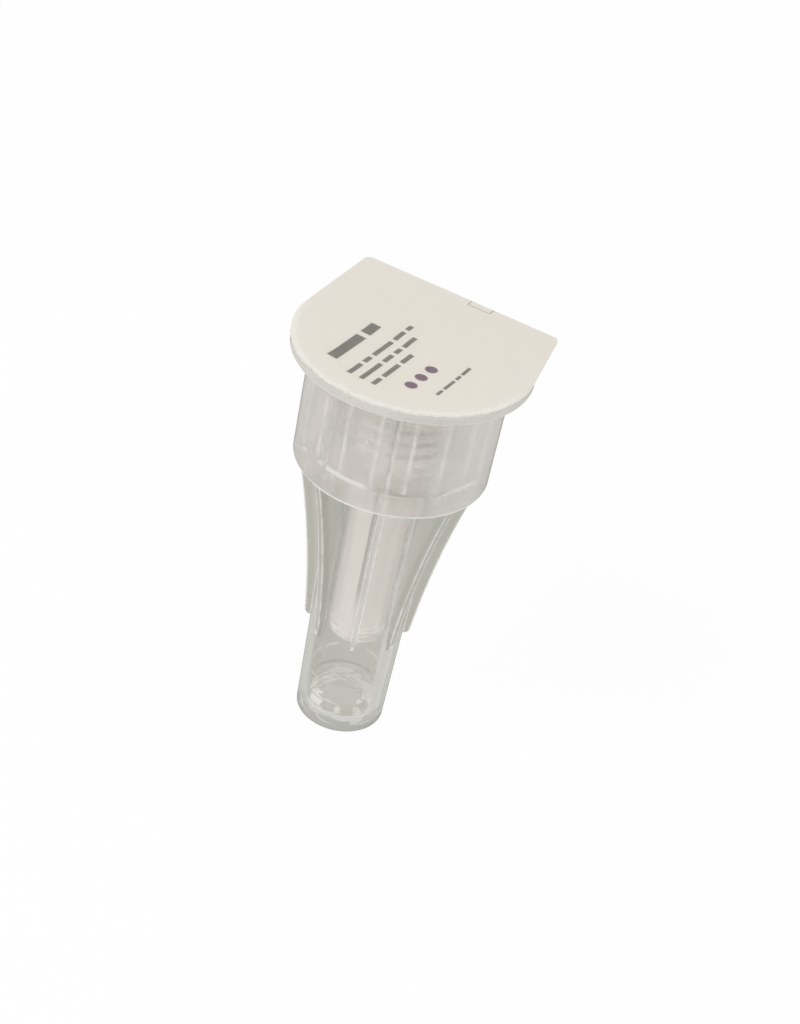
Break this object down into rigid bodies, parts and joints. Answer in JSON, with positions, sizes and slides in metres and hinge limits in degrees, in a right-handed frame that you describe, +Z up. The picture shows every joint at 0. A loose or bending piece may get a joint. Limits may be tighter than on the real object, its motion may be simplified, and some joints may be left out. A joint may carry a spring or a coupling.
{
  "type": "pen needle",
  "caption": "Fine double-ended needle in a threaded hub with an inner shield, sealed in a finned outer cap under a peel-off paper seal.",
  "frame": {"origin": "centre of the outer cap's foot, on its underside", "axes": "+Z up along the needle's axis from the closed foot to the seal, +Y towards the seal's tab"},
  "size_m": [0.0184, 0.0182, 0.034],
  "materials": {
    "cap_plastic": "translucent natural polypropylene, smooth moulded",
    "seal_paper": "coated white paper, matt",
    "hub_plastic": "translucent natural polypropylene, smooth moulded",
    "needle_steel": "drawn stainless steel tube",
    "adhesive": "clear cured adhesive",
    "shield_plastic": "translucent natural polypropylene, thin moulded"
  },
  "bodies": {
    "sealed_cap": {"outer_cap": "cap_plastic", "peel_seal": "seal_paper", "needle_hub": "hub_plastic", "cannula": "needle_steel", "adhesive_bead": "adhesive"},
    "shield": {"inner_shield": "shield_plastic"}
  },
  "joints": [
    {"name": "shield_slide", "type": "slide", "parent": "sealed_cap", "child": "shield", "axis": [0, 0, -1], "range_m": [0, 0.0062]}
  ]
}
